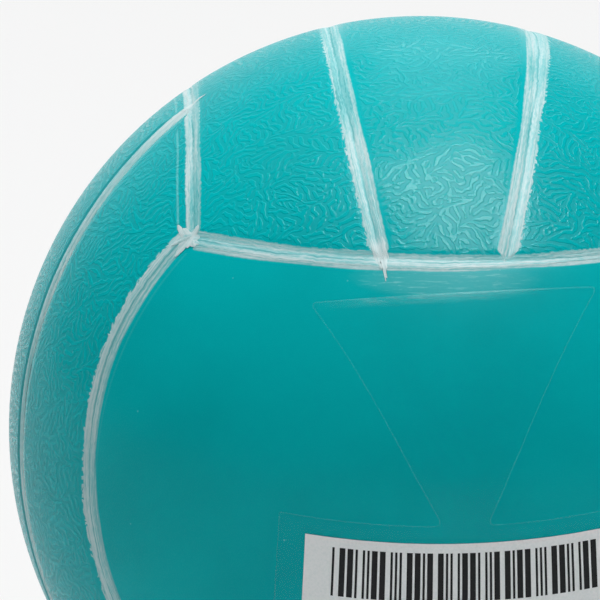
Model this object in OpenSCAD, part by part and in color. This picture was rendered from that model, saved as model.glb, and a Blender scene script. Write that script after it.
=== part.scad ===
// Moulded play ball with a volleyball panel layout
//
// One hollow soft skin carries all the panels. Six planes, each parallel to a face of the cube that
// fits inside the ball, give the panel edges. Five of the six panels are split into three strips.
// The white lines are brush strokes along the seams, and the front panel carries a label film.
//
// Frame: origin at the ball's centre, front panel towards -Y, valve towards +Y, +Z up. Millimetres.

/* [Ball] */
// Outside diameter of the inflated ball
ball_d = 210; // [180:1:240]
// Wall of the moulded skin
wall = 1.5; // [1.3:0.1:3]

/* [Seams] */
// Width of the sunk band along each seam
seam_w = 6; // [5.8:0.1:9]
// Depth of the band below the panels
band_depth = 0.3; // [0.2:0.01:0.5]
// Width of the fine groove along the middle of the band
groove_w = 0.9; // [0.5:0.1:1.4]
// How much deeper than the band the fine groove is
groove_depth = 0.35; // [0.1:0.01:0.5]
// Angle from a panel's middle to the lines that split it into three strips
strip_angle = 14.2; // [11:0.1:17]

/* [Paint] */
// Width of a white seam line
paint_w = 5.4; // [4:0.1:5.6]
// Thickness of the coat
paint_t = 0.18; // [0.1:0.01:0.25]
// Share of the coat's thickness that the fine groove shows through
paint_dip = 0.6; // [0.3:0.1:0.7]
// Play left between a coat and what it lies on or next to
paint_gap = 0.03; // [0.02:0.01:0.06]

/* [Valve] */
// Diameter of the plug's head
head_d = 12; // [10:0.5:15]
// Thickness of the plug's head
head_t = 1.1; // [0.8:0.1:1.6]
// Diameter of the plug's sealing rings
stem_d = 8; // [6:0.5:9]
// Length of the stem below the head
stem_len = 12; // [10:0.5:18]
// Number of sealing rings on the stem
rings = 3; // [2:1:4]
// Play all round between the plug and the neck
plug_gap = 0.05; // [0.03:0.01:0.09]
// Diameter of the needle port in the plug
port_d = 2; // [1.6:0.1:2.4]
// Depth of the needle port, lead-in included
port_len = 8; // [6:0.5:9]

/* [Label] */
// Width of the film's upper part at the top
film_top_w = 71; // [60:1:80]
// Height of the film's upper part
film_top_h = 55; // [40:1:57]
// Width where the upper part runs into the lower part
film_neck_w = 11; // [8:1:30]
// Width of the film's lower part
film_low_w = 90; // [80:1:94]
// Height of the film's lower part
film_low_h = 36; // [32:1:42]
// Corner radius of the film's upper part and neck
film_r = 2; // [1:0.5:4]
// Corner radius of the film's lower part
film_low_r = 0.5; // [0.3:0.1:2]
// Thickness of the film
film_t = 0.1; // [0.06:0.01:0.2]
// How far to one side of the panel's middle the film was stuck on
film_shift = 6; // [0:0.5:8]
// How far below the ball's middle the film's lower part starts
film_drop = 1.4; // [0:0.2:4]
// How far out of square the film was stuck on, in degrees
film_turn = 2; // [0:0.5:4]
// Further turn of the upper part, in degrees
upper_turn = 1.5; // [0:0.5:3]
// How far the lower part's lines rise from their middle to their ends
film_bow = 2.8; // [0:0.2:4]
// Percentage by which the upper part is drawn in at half its height
film_draw = 6.5; // [0:0.5:9]
// Width of the white block
block_w = 77; // [60:1:80]
// Height of the white block
block_h = 25; // [20:1:28]
// Distance from the top of the film's lower part to the block
block_drop = 4.4; // [2:0.2:6]
// Thickness of the print
print_t = 0.05; // [0.04:0.01:0.1]
// Number of dark bars on the block
bars = 39; // [15:2:43]
// How many times as wide as a narrow bar a wide bar is
bar_ratio = 2.5; // [1.5:0.1:3]
// How many times as wide as a narrow bar a wide gap is
gap_ratio = 2.2; // [1.5:0.1:3]
// Height of the bars
bar_h = 12.5; // [8:0.5:17]
// Clear margin at the two ends of the bars
bar_margin = 6.6; // [4:0.2:8]
// Distance from the top of the block to the bars
bar_drop = 2.4; // [1.4:0.2:3]

/* [Hidden] */
$fn = 128;
R = ball_d / 2;

// How far cutting bodies run past what they cut, and how deep a panel is set into what it stands on
past = 2;
bite = 0.2;

// Distance from the ball's centre to each of the six seam planes, which meet the ball at the cube's corners
c = R / sqrt(3);

// Radii of the paint coat, of the dip along its middle, and of the bead of paint that fills the fine groove
paint_in = R - band_depth + paint_gap;
paint_out = paint_in + paint_t;
dip_r = paint_out - paint_t * paint_dip;
bead_in = paint_in - groove_depth;
bead_out = (paint_in + dip_r) / 2;
bead_w = groove_w - 2 * paint_gap;

// Valve: play round the head, wall of the neck, sink of the head's face and of the stem between its rings,
// length of the stem that shows below the neck, of its tip and of the port's lead-in
head_play = 0.25;
neck_wall = 1.4;
face_sink = 0.05;
ring_depth = 0.4;
stem_shown = 1.5;
tip_len = 1;
lead_in = 0.8;

// Valve sizes that follow from the plug
seat_r = head_d / 2 + head_play;
neck_bore_r = stem_d / 2 + plug_gap;
neck_r = seat_r + neck_wall;
face_y = sqrt(R * R - seat_r * seat_r) - face_sink;
seat_y = face_y - head_t - plug_gap;
neck_len = stem_len - stem_shown;
ring_len = stem_len / (2 * rings + 1);
stem_core_r = stem_d / 2 - ring_depth;

// Label layers, counted outwards from the skin, with a hair of play between the prints
print_gap = 0.005;
film_in = R + paint_gap;
film_out = film_in + film_t;
block_out = film_out + print_t;
bar_out = block_out + print_t;

// Width of a narrow bar, from the share that all bars and gaps have of the row
bar_unit = (block_w - 2 * bar_margin) / (bar_start(bars - 1) + bar_units(bars - 1));

// Panels: name, turn of the layout, side of the ball, split into strips
PANELS = [
    ["top", 0, 1, true],
    ["bottom", 0, -1, true],
    ["right", 1, 1, true],
    ["left", 1, -1, true],
    ["back", 2, 1, true],
    ["front", 2, -1, false]
];

// Edge seams: name, turn of the layout, side of the plane, side that the arc faces
EDGES = [
    ["front_top", 0, 1, -1],
    ["front_bottom", 0, -1, -1],
    ["back_top", 0, 1, 1],
    ["back_bottom", 0, -1, 1],
    ["top_right", 1, 1, 1],
    ["top_left", 1, -1, 1],
    ["bottom_right", 1, 1, -1],
    ["bottom_left", 1, -1, -1],
    ["back_right", 2, 1, 1],
    ["back_left", 2, 1, -1],
    ["front_right", 2, -1, 1],
    ["front_left", 2, -1, -1]
];

// Strip seams: name, turn of the layout, side of the panel, side of the panel's middle
STRIPS = [
    ["top_right", 0, 1, 1],
    ["top_left", 0, 1, -1],
    ["bottom_right", 0, -1, 1],
    ["bottom_left", 0, -1, -1],
    ["right_back", 1, 1, 1],
    ["right_front", 1, 1, -1],
    ["left_back", 1, -1, 1],
    ["left_front", 1, -1, -1],
    ["back_upper", 2, 1, 1],
    ["back_lower", 2, 1, -1]
];

// The piece to draw, or all of them

// Half the thickness of a slab parallel to a seam plane that marks a band of width w on the ball
function half_slab(w) = w / 2 * sqrt(2 / 3);

// Widths of a bar and of the gap after it, in narrow bars: a made-up rhythm that spells nothing
function bar_units(i) = i * i % 13 % 3 == 1 ? bar_ratio : 1;
function gap_units(i) = i * 5 % 7 < 2 ? gap_ratio : 1;

// Distance of a bar from the first one, in narrow bars
function bar_start(i) = i == 0 ? 0 : bar_start(i - 1) + bar_units(i - 1) + gap_units(i - 1);

// Points of a closed outline with each corner rounded to its own radius, for corners listed anticlockwise
function rounded(corners, radii, steps = 4) = [
    for (i = [0 : len(corners) - 1])
        let (
            r = radii[i],
            c = corners[i],
            p = corners[(i + len(corners) - 1) % len(corners)] - c,
            n = corners[(i + 1) % len(corners)] - c,
            u = p / norm(p),
            v = n / norm(n),
            half = acos(u * v) / 2,
            side = sign(v[0] * u[1] - v[1] * u[0]),
            mid = c + (u + v) / norm(u + v) * r / sin(half),
            start = c + u * r / tan(half) - mid,
            first = atan2(start[1], start[0])
        )
        for (k = [0 : steps])
            let (a = first + side * (180 - 2 * half) * k / steps)
            mid + r * [cos(a), sin(a)]
];

// Points of a closed outline, with more of them along its long sides
function split(points, step = 6) = [
    for (i = [0 : len(points) - 1])
        let (
            p = points[i],
            q = points[(i + 1) % len(points)],
            n = ceil(norm(q - p) / step)
        )
        for (k = [0 : n - 1])
            p + (q - p) * k / n
];

// Where a point of the flat film comes to lie on the ball, seen from the front: level lines bow away from
// the film's middle, the upper part is drawn in, and from a fifth of its height on it has its further turn
function laid(p) =
    let (
        up = max(p[1], 0) / film_top_h,
        bow = film_bow / pow(film_low_w / 2, 2) * (1 - 2 * up),
        draw = film_draw / 100 * 4 * up * (1 - up),
        u = p[0] * (1 - draw - bow * min(p[1], 0)),
        v = p[1] + bow * p[0] * p[0],
        a = upper_turn * min(5 * up, 1)
    )
    [u * cos(a) - v * sin(a), u * sin(a) + v * cos(a)];

// Turns the layout so that its upper panel becomes the right one (1) or the back one (2)
module turned(step) {
    rotate(a = 120 * step, v = [1, 1, 1])
        children();
}

// Places an edge seam that was drawn as the front-top one
module at_edge(e) {
    turned(e[1])
        rotate([0, e[2] < 0 ? 180 : 0, e[3] > 0 ? 180 : 0])
            children();
}

// Places what was drawn on the upper panel
module at_panel(s) {
    turned(s[1])
        rotate([s[2] < 0 ? 180 : 0, 0, 0])
            children();
}

// Slab that marks a band of width w along the front-top edge, as far as x_end to either side
module edge_slab(w, x_end) {
    h = half_slab(w);
    translate([-x_end, -R - past, c - h])
        cube([2 * x_end, R + past, 2 * h]);
}

// Slab that marks a band of width w along a strip line of the upper panel, down to z_end
module strip_slab(w, side, z_end) {
    intersection() {
        rotate([0, side * strip_angle, 0])
            translate([-w / 2, -R - past, 0])
                cube([w, 2 * (R + past), R + past]);
        translate([-R, -R - past, z_end])
            cube([2 * R, 2 * (R + past), R]);
    }
}

// The upper panel as seen from the ball's middle, held back from its seams by half of w on every side
module panel_room(w, striped) {
    h = half_slab(w);
    difference() {
        translate([h - c, -R - past, c + h])
            cube([2 * (c - h), 2 * (R + past), R]);
        if (striped)
            for (side = [-1, 1])
                strip_slab(w, side, 0);
    }
}

// What lies outside a radius
module outside(r) {
    difference() {
        children();
        sphere(r = r);
    }
}

// What lies between two radii
module layer(r_in, r_out) {
    intersection() {
        children();
        difference() {
            sphere(r = r_out);
            sphere(r = r_in);
        }
    }
}

// All the panels at one level, which stand out by a height above what lies below them
module panels(w, r_out, height) {
    for (p = PANELS)
        at_panel(p)
            layer(r_out - height - bite, r_out)
                panel_room(w, p[3]);
}

// The hollow skin: a core at the fine grooves' floor, the sunk bands on it, and the panels on those
module ball_shell() {
    color("#00A6AB")
        difference() {
            union() {
                difference() {
                    sphere(r = R - band_depth - groove_depth);
                    sphere(r = R - wall);
                }
                panels(groove_w, R - band_depth, groove_depth);
                panels(seam_w, R, band_depth);
                rotate([-90, 0, 0])
                    translate([0, 0, seat_y - neck_len])
                        cylinder(r = neck_r, h = R - wall / 2 - (seat_y - neck_len));
            }
            rotate([-90, 0, 0]) {
                translate([0, 0, seat_y])
                    cylinder(r = seat_r, h = R);
                translate([0, 0, seat_y - neck_len - past])
                    cylinder(r = neck_bore_r, h = R);
            }
        }
}

// The push-in plug: head, ringed stem and blind needle port
module valve_plug() {
    top = face_y;
    stem_top = top - head_t;
    color("#E9EDEA")
        rotate([-90, 0, 0])
            difference() {
                union() {
                    translate([0, 0, stem_top])
                        cylinder(r = head_d / 2, h = head_t);
                    translate([0, 0, stem_top - stem_len + tip_len])
                        cylinder(r = stem_core_r, h = stem_len - tip_len + head_t / 2);
                    translate([0, 0, stem_top - stem_len])
                        cylinder(r1 = stem_core_r - tip_len, r2 = stem_core_r, h = tip_len);
                    for (i = [0 : rings - 1])
                        translate([0, 0, stem_top - stem_len + (2 * i + 1) * ring_len])
                            cylinder(r = stem_d / 2, h = ring_len);
                }
                translate([0, 0, top - port_len])
                    cylinder(r = port_d / 2, h = R);
                translate([0, 0, top - lead_in])
                    cylinder(r1 = port_d / 2, r2 = port_d / 2 + 2 * lead_in, h = 2 * lead_in);
            }
}

// One white stroke along a panel edge, ending beside the corner dabs
module edge_line(e) {
    x_end = c - half_slab(paint_w) - paint_gap;
    color("#E4EEEE")
        at_edge(e)
            difference() {
                union() {
                    layer(paint_in, paint_out)
                        edge_slab(paint_w, x_end);
                    layer(bead_in, bead_out)
                        edge_slab(bead_w, x_end);
                }
                outside(dip_r)
                    edge_slab(groove_w, c);
            }
}

// One white stroke between two strips, ending beside the edge lines it runs into
module strip_line(s) {
    z_end = c + half_slab(paint_w) + paint_gap;
    color("#E4EEEE")
        at_panel(s)
            difference() {
                union() {
                    layer(paint_in, paint_out)
                        strip_slab(paint_w, s[3], z_end);
                    layer(bead_in, bead_out)
                        strip_slab(bead_w, s[3], z_end);
                }
                outside(dip_r)
                    strip_slab(groove_w, s[3], c);
            }
}

// The pools of paint where three edge lines meet
module corner_dabs() {
    h = half_slab(paint_w);
    color("#F2F6F6")
        layer(paint_in, paint_out)
            for (x = [-c, c], y = [-c, c], z = [-c, c])
                translate([x, y, z])
                    cube(2 * h, center = true);
}

// Lays a flat outline on the front panel, as the film was stuck on
module on_front(outline) {
    translate([film_shift, 0, -film_drop])
        rotate([0, -film_turn, 0])
            rotate([90, 0, 0])
                linear_extrude(height = R + past)
                    polygon([for (p = split(outline)) laid(p)]);
}

// Corners of an upright rectangle from its left end and its top
function rectangle(left, top, w, h) = [
    [left, top],
    [left, top - h],
    [left + w, top - h],
    [left + w, top]
];

// The clear film: a part that narrows downwards on top of a broad part
module label_film() {
    outline = [
        [-film_top_w / 2, film_top_h],
        [-film_neck_w / 2, 0],
        [-film_low_w / 2, 0],
        [-film_low_w / 2, -film_low_h],
        [film_low_w / 2, -film_low_h],
        [film_low_w / 2, 0],
        [film_neck_w / 2, 0],
        [film_top_w / 2, film_top_h]
    ];
    radii = [film_r, film_r, film_low_r, film_low_r, film_low_r, film_low_r, film_r, film_r];
    color("#BFE3E4", 0.5)
        layer(film_in, film_out)
            on_front(rounded(outline, radii));
}

// The white print under the bars
module label_block() {
    color("#F3F5F5")
        layer(film_out + print_gap, block_out)
            on_front(rectangle(-block_w / 2, -block_drop, block_w, block_h));
}

// The dark bars
module label_bars() {
    left = -block_w / 2 + bar_margin;
    top = -block_drop - bar_drop;
    color("#262628")
        layer(block_out + print_gap, bar_out)
            for (i = [0 : bars - 1])
                on_front(rectangle(left + bar_start(i) * bar_unit, top, bar_units(i) * bar_unit, bar_h));
}

ball_shell();
valve_plug();
corner_dabs();
label_film();
label_block();
label_bars();
for (e = EDGES)
    edge_line(e);
for (s = STRIPS)
    strip_line(s);
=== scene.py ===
"""Looks of the moulded play ball: grained panels, brushed seam lines, label film and valve.

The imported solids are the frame. Lengths here are in millimetres, as in the part's source, and are
turned into metres when a mesh is written. Points on the skin are worked out on a ball of radius 1.
"""

import math

import bmesh
import bpy
import numpy as np
from mathutils import Matrix, Vector


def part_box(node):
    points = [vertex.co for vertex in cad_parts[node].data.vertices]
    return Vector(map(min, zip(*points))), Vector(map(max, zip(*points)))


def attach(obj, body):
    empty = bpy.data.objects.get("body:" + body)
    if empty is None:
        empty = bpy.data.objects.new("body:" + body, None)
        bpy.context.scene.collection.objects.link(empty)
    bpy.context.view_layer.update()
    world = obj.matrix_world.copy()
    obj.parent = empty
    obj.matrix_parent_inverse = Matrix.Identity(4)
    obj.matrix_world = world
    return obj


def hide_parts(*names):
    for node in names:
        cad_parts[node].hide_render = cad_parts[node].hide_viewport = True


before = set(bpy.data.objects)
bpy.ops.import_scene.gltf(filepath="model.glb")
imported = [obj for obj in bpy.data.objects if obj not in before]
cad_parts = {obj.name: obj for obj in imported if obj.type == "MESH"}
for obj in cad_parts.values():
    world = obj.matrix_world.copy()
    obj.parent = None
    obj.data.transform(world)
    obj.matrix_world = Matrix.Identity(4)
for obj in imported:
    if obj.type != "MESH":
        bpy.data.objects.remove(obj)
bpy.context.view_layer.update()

MM = 0.001
FACES_TESTED = 400  # faces that tell which way a mesh is turned

# The ball
BALL_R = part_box("ball_shell")[1].z / MM
CORNER = 1 / math.sqrt(3)  # share of the radius at which the six seam planes lie
RING = math.sqrt(1 - CORNER ** 2)  # radius of the circles that those planes cut
SEAM_LAT = math.asin(CORNER)  # a seam plane's circle, as a latitude
STRIP_ANGLE = math.radians(14.2)  # from a panel's middle to its strip seams
STRIP_END = math.acos(CORNER / math.cos(STRIP_ANGLE))
NO_STRIP = 9  # in radians, further off than any seam
FAR = 50  # far from any seam or mark
RUN_APART = 300  # keeps the streaks of different seams apart

# Seam profile: a rounded shoulder on either side of a fine groove
SHOULDER_W = 3.2
SHOULDER_DEPTH = 0.30
GROOVE_HALF = 0.40
GROOVE_DEPTH = 0.32

# Cells of the skin's pieces, and their sizes between borders
STRIP_CELLS, VALVE_CELLS, FRONT_CELLS = (44, 110), (72, 180), (90, 90)
MIDDLE_SIZE, OUTER_SIZE, FRONT_SIZE = (44, 190), (46, 160), (150, 150)
NEAR_SEAM, NEAR_CELLS = 4.2, 0.26  # so near a border lies this share of the cells

# Painted lines
STROKE_INSET = 0.7  # how far a stroke stays inside the paint on the skin
STROKE_LIFT = 0.07  # how far its middle rises
STROKE_LEAST = 0.3  # least half of its width
STROKE_COLUMNS = 18  # cells across a stroke
COLUMN_CROWD = 1.35  # how much closer they lie in its middle
STRIP_LAYER, EDGE_LAYER, NEXT_LAYER = 0.012, 0.024, 0.001  # how high strokes lie over the skin
STRIP_BASE, EDGE_BASE = 0.44, 0.49  # how well strokes cover
LEAN_WEIGHT = 0.4  # how much better they cover on the side that they lean to
PAINTED_GROOVE = 0.15  # share of the groove that the paint leaves open
GROOVE_SHOWN = 0.7  # how clearly the open groove shows
GROOVE_FROM = (1.3, 1.6)  # half width of a stroke from which it starts to show
FILLING_COVER = 0.55  # paint that covers better than this hides the groove
STRIP_REACH = 2.45  # how far the paint spreads to either side of a strip seam
RAGGED_OUTER, RAGGED_MIDDLE = 0.30, 0.06
RAGGED_END, RAGGED_PLAIN = 0.12, 0.07  # at strips' ends and on the smooth panel
TOOTH_REACH = 4.4  # how far fully ragged paint strays
WORM_SWELL = 1.4  # how much further it reaches on the tops of the grain
SLOW_WAVES = ((0.11, 0.0), (0.047, 1.3), (0.23, 0.4))
SLOW_REACH, SLOW_COVER = 0.09, 0.04  # how much they change the paint
STATIONS = 5  # places along a seam at which its paint has a width

# A stroke's uneven edges and its ends
EDGE_WANDER = ((6, 0.12), (1, 0.10))  # bends of so many steps, and their size
COVER_WANDER = (14, 0.12)
TUFT_COLUMNS, TUFT_LEAST = 3, 0.4  # tufts that fray its ends, and the shortest one's share
TIP_LEAST, TIP_STRETCH, TIP_BLUNT = 1.5, 1.9, 2.2  # length over which an end narrows
EDGE_OVER, STRIP_PAST = (0.5, 2), (1.2, 3)  # how far strokes run past their seams' ends
USUAL_TIP = 0.3  # share of the width that is left at a tip
LONG_OVER = 4  # an end that runs on further than this lies over the other strokes
LONG_FROM = (6, 3)  # distances from the seam's end between which it rises
LONG_LIFT, LONG_COVER = 0.05, 0.4

# Dabs of paint at the corners
DAB_STROKES = 9  # short strokes that make a dab
DAB_SEED = 4
DAB_CELLS = (6, 14)
DAB_SHIFT = (1.3, 0.0, -0.5)  # how far a dab lies out from its corner, along x, y and z
DAB_LENGTH, DAB_WIDTH = (4.5, 9.0), (1.0, 2.4)
DAB_OUT, DAB_ASIDE, DAB_TURN = (-0.8, 2.4), (-1.1, 1.1), (-0.6, 0.6)
DAB_COVER = (0.7, 1.0)
DAB_LIFT, DAB_LAYER, DAB_CROWN, DAB_SINK = 0.13, 0.006, 0.05, 0.34
DAB_STREAKS = (9, 40)  # keep the streaks of dabs apart

# Worm grain on the striped panels
GRAIN_PITCH = 2.0
GRAIN_BANDS = 2.0  # bands that run side by side before the pattern breaks up
GRAIN_TURN = 0.09  # how often, per millimetre, the bands change their heading
GRAIN_SWING = 10.0  # by how much, in radians for the noise's whole range
GRAIN_ORDER = 0.65  # how well neighbouring bands keep to one heading
GRAIN_SLOPE = (0.465, 0.565)  # bands' values at the foot and the top of a worm
GRAIN_FROM = (1.9, 3.0, 2.9, 3.7)  # distance at which it starts, on the four sides that seams have
GRAIN_FADE = 0.8  # over which distance it comes up
GRAIN_NEXT = (97.3, 61.7)  # moves the pattern on from panel to panel
GRAIN_DEPTH = 0.07
GRAIN_SHADE = 0.32  # how much darker its valleys are painted: painted shade in the grain's hollows

# Painted highlight and painted shade beside seams of the left panel, placed from the edge of the paint
CREST_OFF, CREST_SHINE = 2.4, 0.5  # its painted highlight on the shoulder beside the top panel
VALLEY_OFF, VALLEY_SHADE = 1.2, 0.6  # the bare valley behind its front strip line, darkened with painted shade

# Marks on the front panel: a painted highlight along the inset's step, and scratches under a painted glare
INSET_TOP = 58  # height up to which the mould's inset leaves a step
INSET_OFF, INSET_LEAN = 4.2, 0.025  # its distance from the seam, and how that changes with height
WORN_X, WORN_Z = (0.5, 25.0), (56.0, 4.6)  # middle and half size of the worn patch above the label: scratches under a painted glare

# Label, as in the part's source
FILM_TOP_W, FILM_TOP_H, FILM_NECK_W = 71, 55, 11
FILM_LOW_W, FILM_LOW_H = 90, 36
FILM_CORNER, FILM_LOW_CORNER = 2, 0.5
FILM_SHIFT, FILM_DROP = 6, 1.4
FILM_TURN, UPPER_TURN = math.radians(2), math.radians(1.5)
FILM_BOW, FILM_DRAW = 2.8, 0.065
FILM_UNDER, FILM_OVER = 0.03, 0.125  # a hair lower than in the source, to stay inside its facets
FILM_RIM, SCUFF_OFF = 0.3, 6  # its rim's width, along which a highlight line is painted, and how far left its top is scuffed under a painted glare
FILM_CELL, FILM_CELL_OFF = 3.0, 0.37  # its cells, set off so that no cut falls on a corner

# Valve on the back panel's middle strip, as in the part's source
VALVE_PANEL = "skin_back_middle"
COLLAR_R, SEAT_R = 9.0, 6.25
PLUG_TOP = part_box("valve_plug")[1].y / MM
HEAD_R, HEAD_T, PLUG_GAP = 6.0, 1.1, 0.05
STEM_R, STEM_LEN, STEM_RINGS, RING_DEPTH = 4.0, 12.0, 3, 0.4
BORE_R, NECK_R, NECK_LEN, SKIN_T = 4.05, 7.65, 10.5, 1.5
PORT_R, PORT_LEN, LEAD_IN = 1.0, 8.0, 0.8

# Colours, as they look on a screen
TEAL = "#00B4B9"
TEAL_DEEP = "#009DA3"
TEAL_SHADE = "#007F87"
TEAL_PALE = "#7FD3D5"
PAINT_WHITE = "#CBDEDF"
PAINT_THIN = "#6EC0C3"
LABEL_WHITE = "#FDFEFE"
LABEL_GREY = "#F3F7F7"
INK = "#232324"
INK_THIN = "#2A2A2C"
RUBBER = "#DDE3E0"
RUBBER_DUST = "#BFC8C5"
STUDIO = "#FCFCFC"
FLOOR_GREY = "#D6D6D6"

# Studio, in metres
FLOOR_HALF = 5.0
WALL_HEIGHT = 4.0
WALL_BEND = 1.0
FLOOR_GAP = 0.0004
FLOOR_GLOW = 0.765  # share of its own glow in what the camera sees

# The photograph's view: turn, tilt and roll of the ball before the camera, and its circle in the picture
VIEW_YAW, VIEW_PITCH, VIEW_ROLL = 3.03, 12.31, -1.62
VIEW_DISTANCE = 20.0  # in ball radii
VIEW_END = 60  # in metres
SENSOR = 36
PICTURE = 600.0
CIRCLE_X, CIRCLE_Y, CIRCLE_R = 420.5, 427.5, 411.8

rng = np.random.default_rng(20)

# Edge seams: turn of the layout, side of the plane, side that the arc faces
EDGES = {
    "front_top": (0, 1, -1), "front_bottom": (0, -1, -1), "back_top": (0, 1, 1), "back_bottom": (0, -1, 1),
    "top_right": (1, 1, 1), "top_left": (1, -1, 1), "bottom_right": (1, 1, -1), "bottom_left": (1, -1, -1),
    "back_right": (2, 1, 1), "back_left": (2, 1, -1), "front_right": (2, -1, 1), "front_left": (2, -1, -1),
}
# Strip seams: turn of the layout, side of the panel, side of the panel's middle
STRIPS = {
    "top_right": (0, 1, 1), "top_left": (0, 1, -1), "bottom_right": (0, -1, 1), "bottom_left": (0, -1, -1),
    "right_back": (1, 1, 1), "right_front": (1, 1, -1), "left_back": (1, -1, 1), "left_front": (1, -1, -1),
    "back_upper": (2, 1, 1), "back_lower": (2, 1, -1),
}
# Striped panels: turn of the layout and side. Then the long borders of each of their strips
PANELS = {"top": (0, 1), "bottom": (0, -1), "right": (1, 1), "left": (1, -1), "back": (2, 1)}
STRIP_SIDES = {
    "low": (("edge", -1), ("strip", -1)),
    "middle": (("strip", -1), ("strip", 1)),
    "high": (("strip", 1), ("edge", 1)),
}
# Paint at an edge seam: widths to the side where strips end, widths to the other side, how much better it
# covers on the first side, and how ragged it ends on the other
EDGE_PAINT = {
    "front_top": ((1.6, 1.5, 1.5, 1.8, 2.3), (3.5, 3.4, 3.2, 1.9, 0.8), -0.25, 0.1),
    "top_left": (2.15, 2.2, 0.4, 0.15),
    "front_left": ((1.1, 1.6, 3.9, 5.3, 4.9), (4.6, 4.2, 1.6, 1.1, 1.6), -0.35, 0.4),
}
# Paint at a strip seam: widths to the outer and the middle strip, and how much better than usual it covers.
# Below 0, it starts on the other side of the seam
STRIP_PAINT = {
    "left_front": ((-0.9, -0.6, 1.2, 1.9, 1.6), (4.6, 3.9, 1.8, 1.4, 1.4), 0.15),
    "top_right": ((2.45, 2.6, 4.4, 3.0, 2.45), STRIP_REACH, 0.05),
}
# How far a strip's stroke runs past its two ends, and the share of its width that is left at its tips
STRIP_OVER = {"top_left": (7.0, 2.0, 0.5), "left_front": (8.0, 2.0, 0.35)}


# Helpers

def paint_table(seams, given, column, usual, vary):
    """One column of what is given for some seams, at the stations of every seam, in the order of their
    numbers. The other seams have about the usual value."""
    table = np.zeros((len(EDGES), STATIONS))
    for name, place in seams.items():
        value = given[name][column] if name in given else usual + rng.uniform(-vary, vary)
        table[seam_number(*place)] = value
    return table


def along_seam(table, number, share):
    """Values of seams' rows in a table at a share of their length, from -1 to 1."""
    station = (np.clip(share, -1, 1) + 1) / 2 * (STATIONS - 1)
    before = np.minimum(station.astype(int), STATIONS - 2)
    part = station - before
    return table[number, before] * (1 - part) + table[number, before + 1] * part


def linear_colour(hex_code):
    """Screen colour as the linear colour that a shader takes."""
    parts = [int(hex_code[i:i + 2], 16) / 255 for i in (1, 3, 5)]
    linear = [p / 12.92 if p <= 0.04045 else ((p + 0.055) / 1.055) ** 2.4 for p in parts]
    return (*linear, 1.0)


def smooth(low, high, value):
    """0 below low, 1 above high, and an even bend between them."""
    t = np.clip((value - low) / (high - low), 0, 1)
    return t * t * (3 - 2 * t)


class Finish:
    """One material and short ways to add nodes to it."""

    def __init__(self, name):
        self.material = bpy.data.materials.new(name)
        self.material.use_nodes = True
        self.tree = self.material.node_tree
        self.tree.nodes.clear()
        self.output = self.node("OutputMaterial")

    def node(self, kind, *inputs, **settings):
        made = self.tree.nodes.new("ShaderNode" + kind)
        for key, value in settings.items():
            setattr(made, key, value)
        for place, value in enumerate(inputs):
            self.feed(made.inputs[place], value)
        return made

    def feed(self, socket, value):
        """Gives an input a link, a screen colour or another value."""
        if isinstance(value, bpy.types.NodeSocket):
            self.tree.links.new(value, socket)
        elif isinstance(value, str):
            socket.default_value = linear_colour(value)
        elif value is not None:
            socket.default_value = value

    def fill(self, made, **values):
        """Feeds a node's inputs by their names."""
        for key, value in values.items():
            self.feed(made.inputs[key.replace("_", " ")], value)
        return made

    def math(self, operation, *inputs):
        return self.node("Math", *inputs, operation=operation).outputs[0]

    def times(self, first, second):
        return self.math("MULTIPLY", first, second)

    def plus(self, first, second):
        return self.math("ADD", first, second)

    def minus(self, first, second):
        return self.math("SUBTRACT", first, second)

    def ramp(self, value, low, high):
        """0 at low and 1 at high, with an even bend between them."""
        made = self.node("MapRange", value, low, high, 0.0, 1.0, interpolation_type="SMOOTHSTEP")
        return made.outputs[0]

    def mix(self, share, first, second):
        """Mixes two colours, which the node has as inputs 6 and 7 and as output 2."""
        made = self.node("Mix", data_type="RGBA")
        self.feed(made.inputs["Factor"], share)
        self.feed(made.inputs[6], first)
        self.feed(made.inputs[7], second)
        return made.outputs[2]

    def noise(self, place, scale=1.0, detail=2.0, roughness=0.5):
        made = self.node("TexNoise")
        self.fill(made, Vector=place, Scale=scale, Detail=detail, Roughness=roughness)
        return made.outputs[0]

    def streaks(self, run, gap, along, across, detail, roughness=0.5):
        """Noise with so many waves per millimetre along a seam and across it."""
        place = self.place(self.times(run, along), self.times(gap, across))
        return self.noise(place, detail=detail, roughness=roughness)

    def attribute(self, name, output="Fac"):
        return self.node("Attribute", attribute_name=name).outputs[output]

    def distance(self, name):
        """A stored distance, without its sign."""
        return self.math("ABSOLUTE", self.attribute(name))

    def place(self, x, y, z=0.0):
        return self.node("CombineXYZ", x, y, z).outputs[0]

    def stretched(self, place, turn, scale):
        """Places turned about the front axis and drawn out along their three axes."""
        return self.node("Mapping", place, None, (0.0, turn, 0.0), scale).outputs[0]

    def object_mm(self):
        here = self.node("TexCoord").outputs["Object"]
        scaled = self.node("VectorMath", here, operation="SCALE")
        return self.fill(scaled, Scale=1 / MM).outputs[0]

    def bump(self, height, depth):
        made = self.node("Bump")
        return self.fill(made, Strength=1.0, Distance=depth * MM, Height=height).outputs[0]

    def surface(self, **values):
        """Ends the material in a Principled shader."""
        return self.end(self.fill(self.node("BsdfPrincipled"), **values))

    def blend(self, share, first, second):
        return self.node("MixShader", share, first.outputs[0], second.outputs[0])

    def end(self, shader):
        self.tree.links.new(shader.outputs[0], self.output.inputs[0])
        return self.material


def turned(points, step):
    """The layout's turn that brings the upper panel to the right (1) or to the back (2)."""
    return np.roll(points, step, axis=1)


def on_panel(points, step, side):
    """Carries points from the upper panel to another one."""
    return turned(points * (1, side, side), step)


def on_edge(points, step, plane_side, facing):
    """Carries points from the front-top seam to another edge seam."""
    points = points * ((-1, 1, -1) if plane_side < 0 else (1, 1, 1))
    points = points * ((-1, -1, 1) if facing > 0 else (1, 1, 1))
    return turned(points, step)


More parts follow.
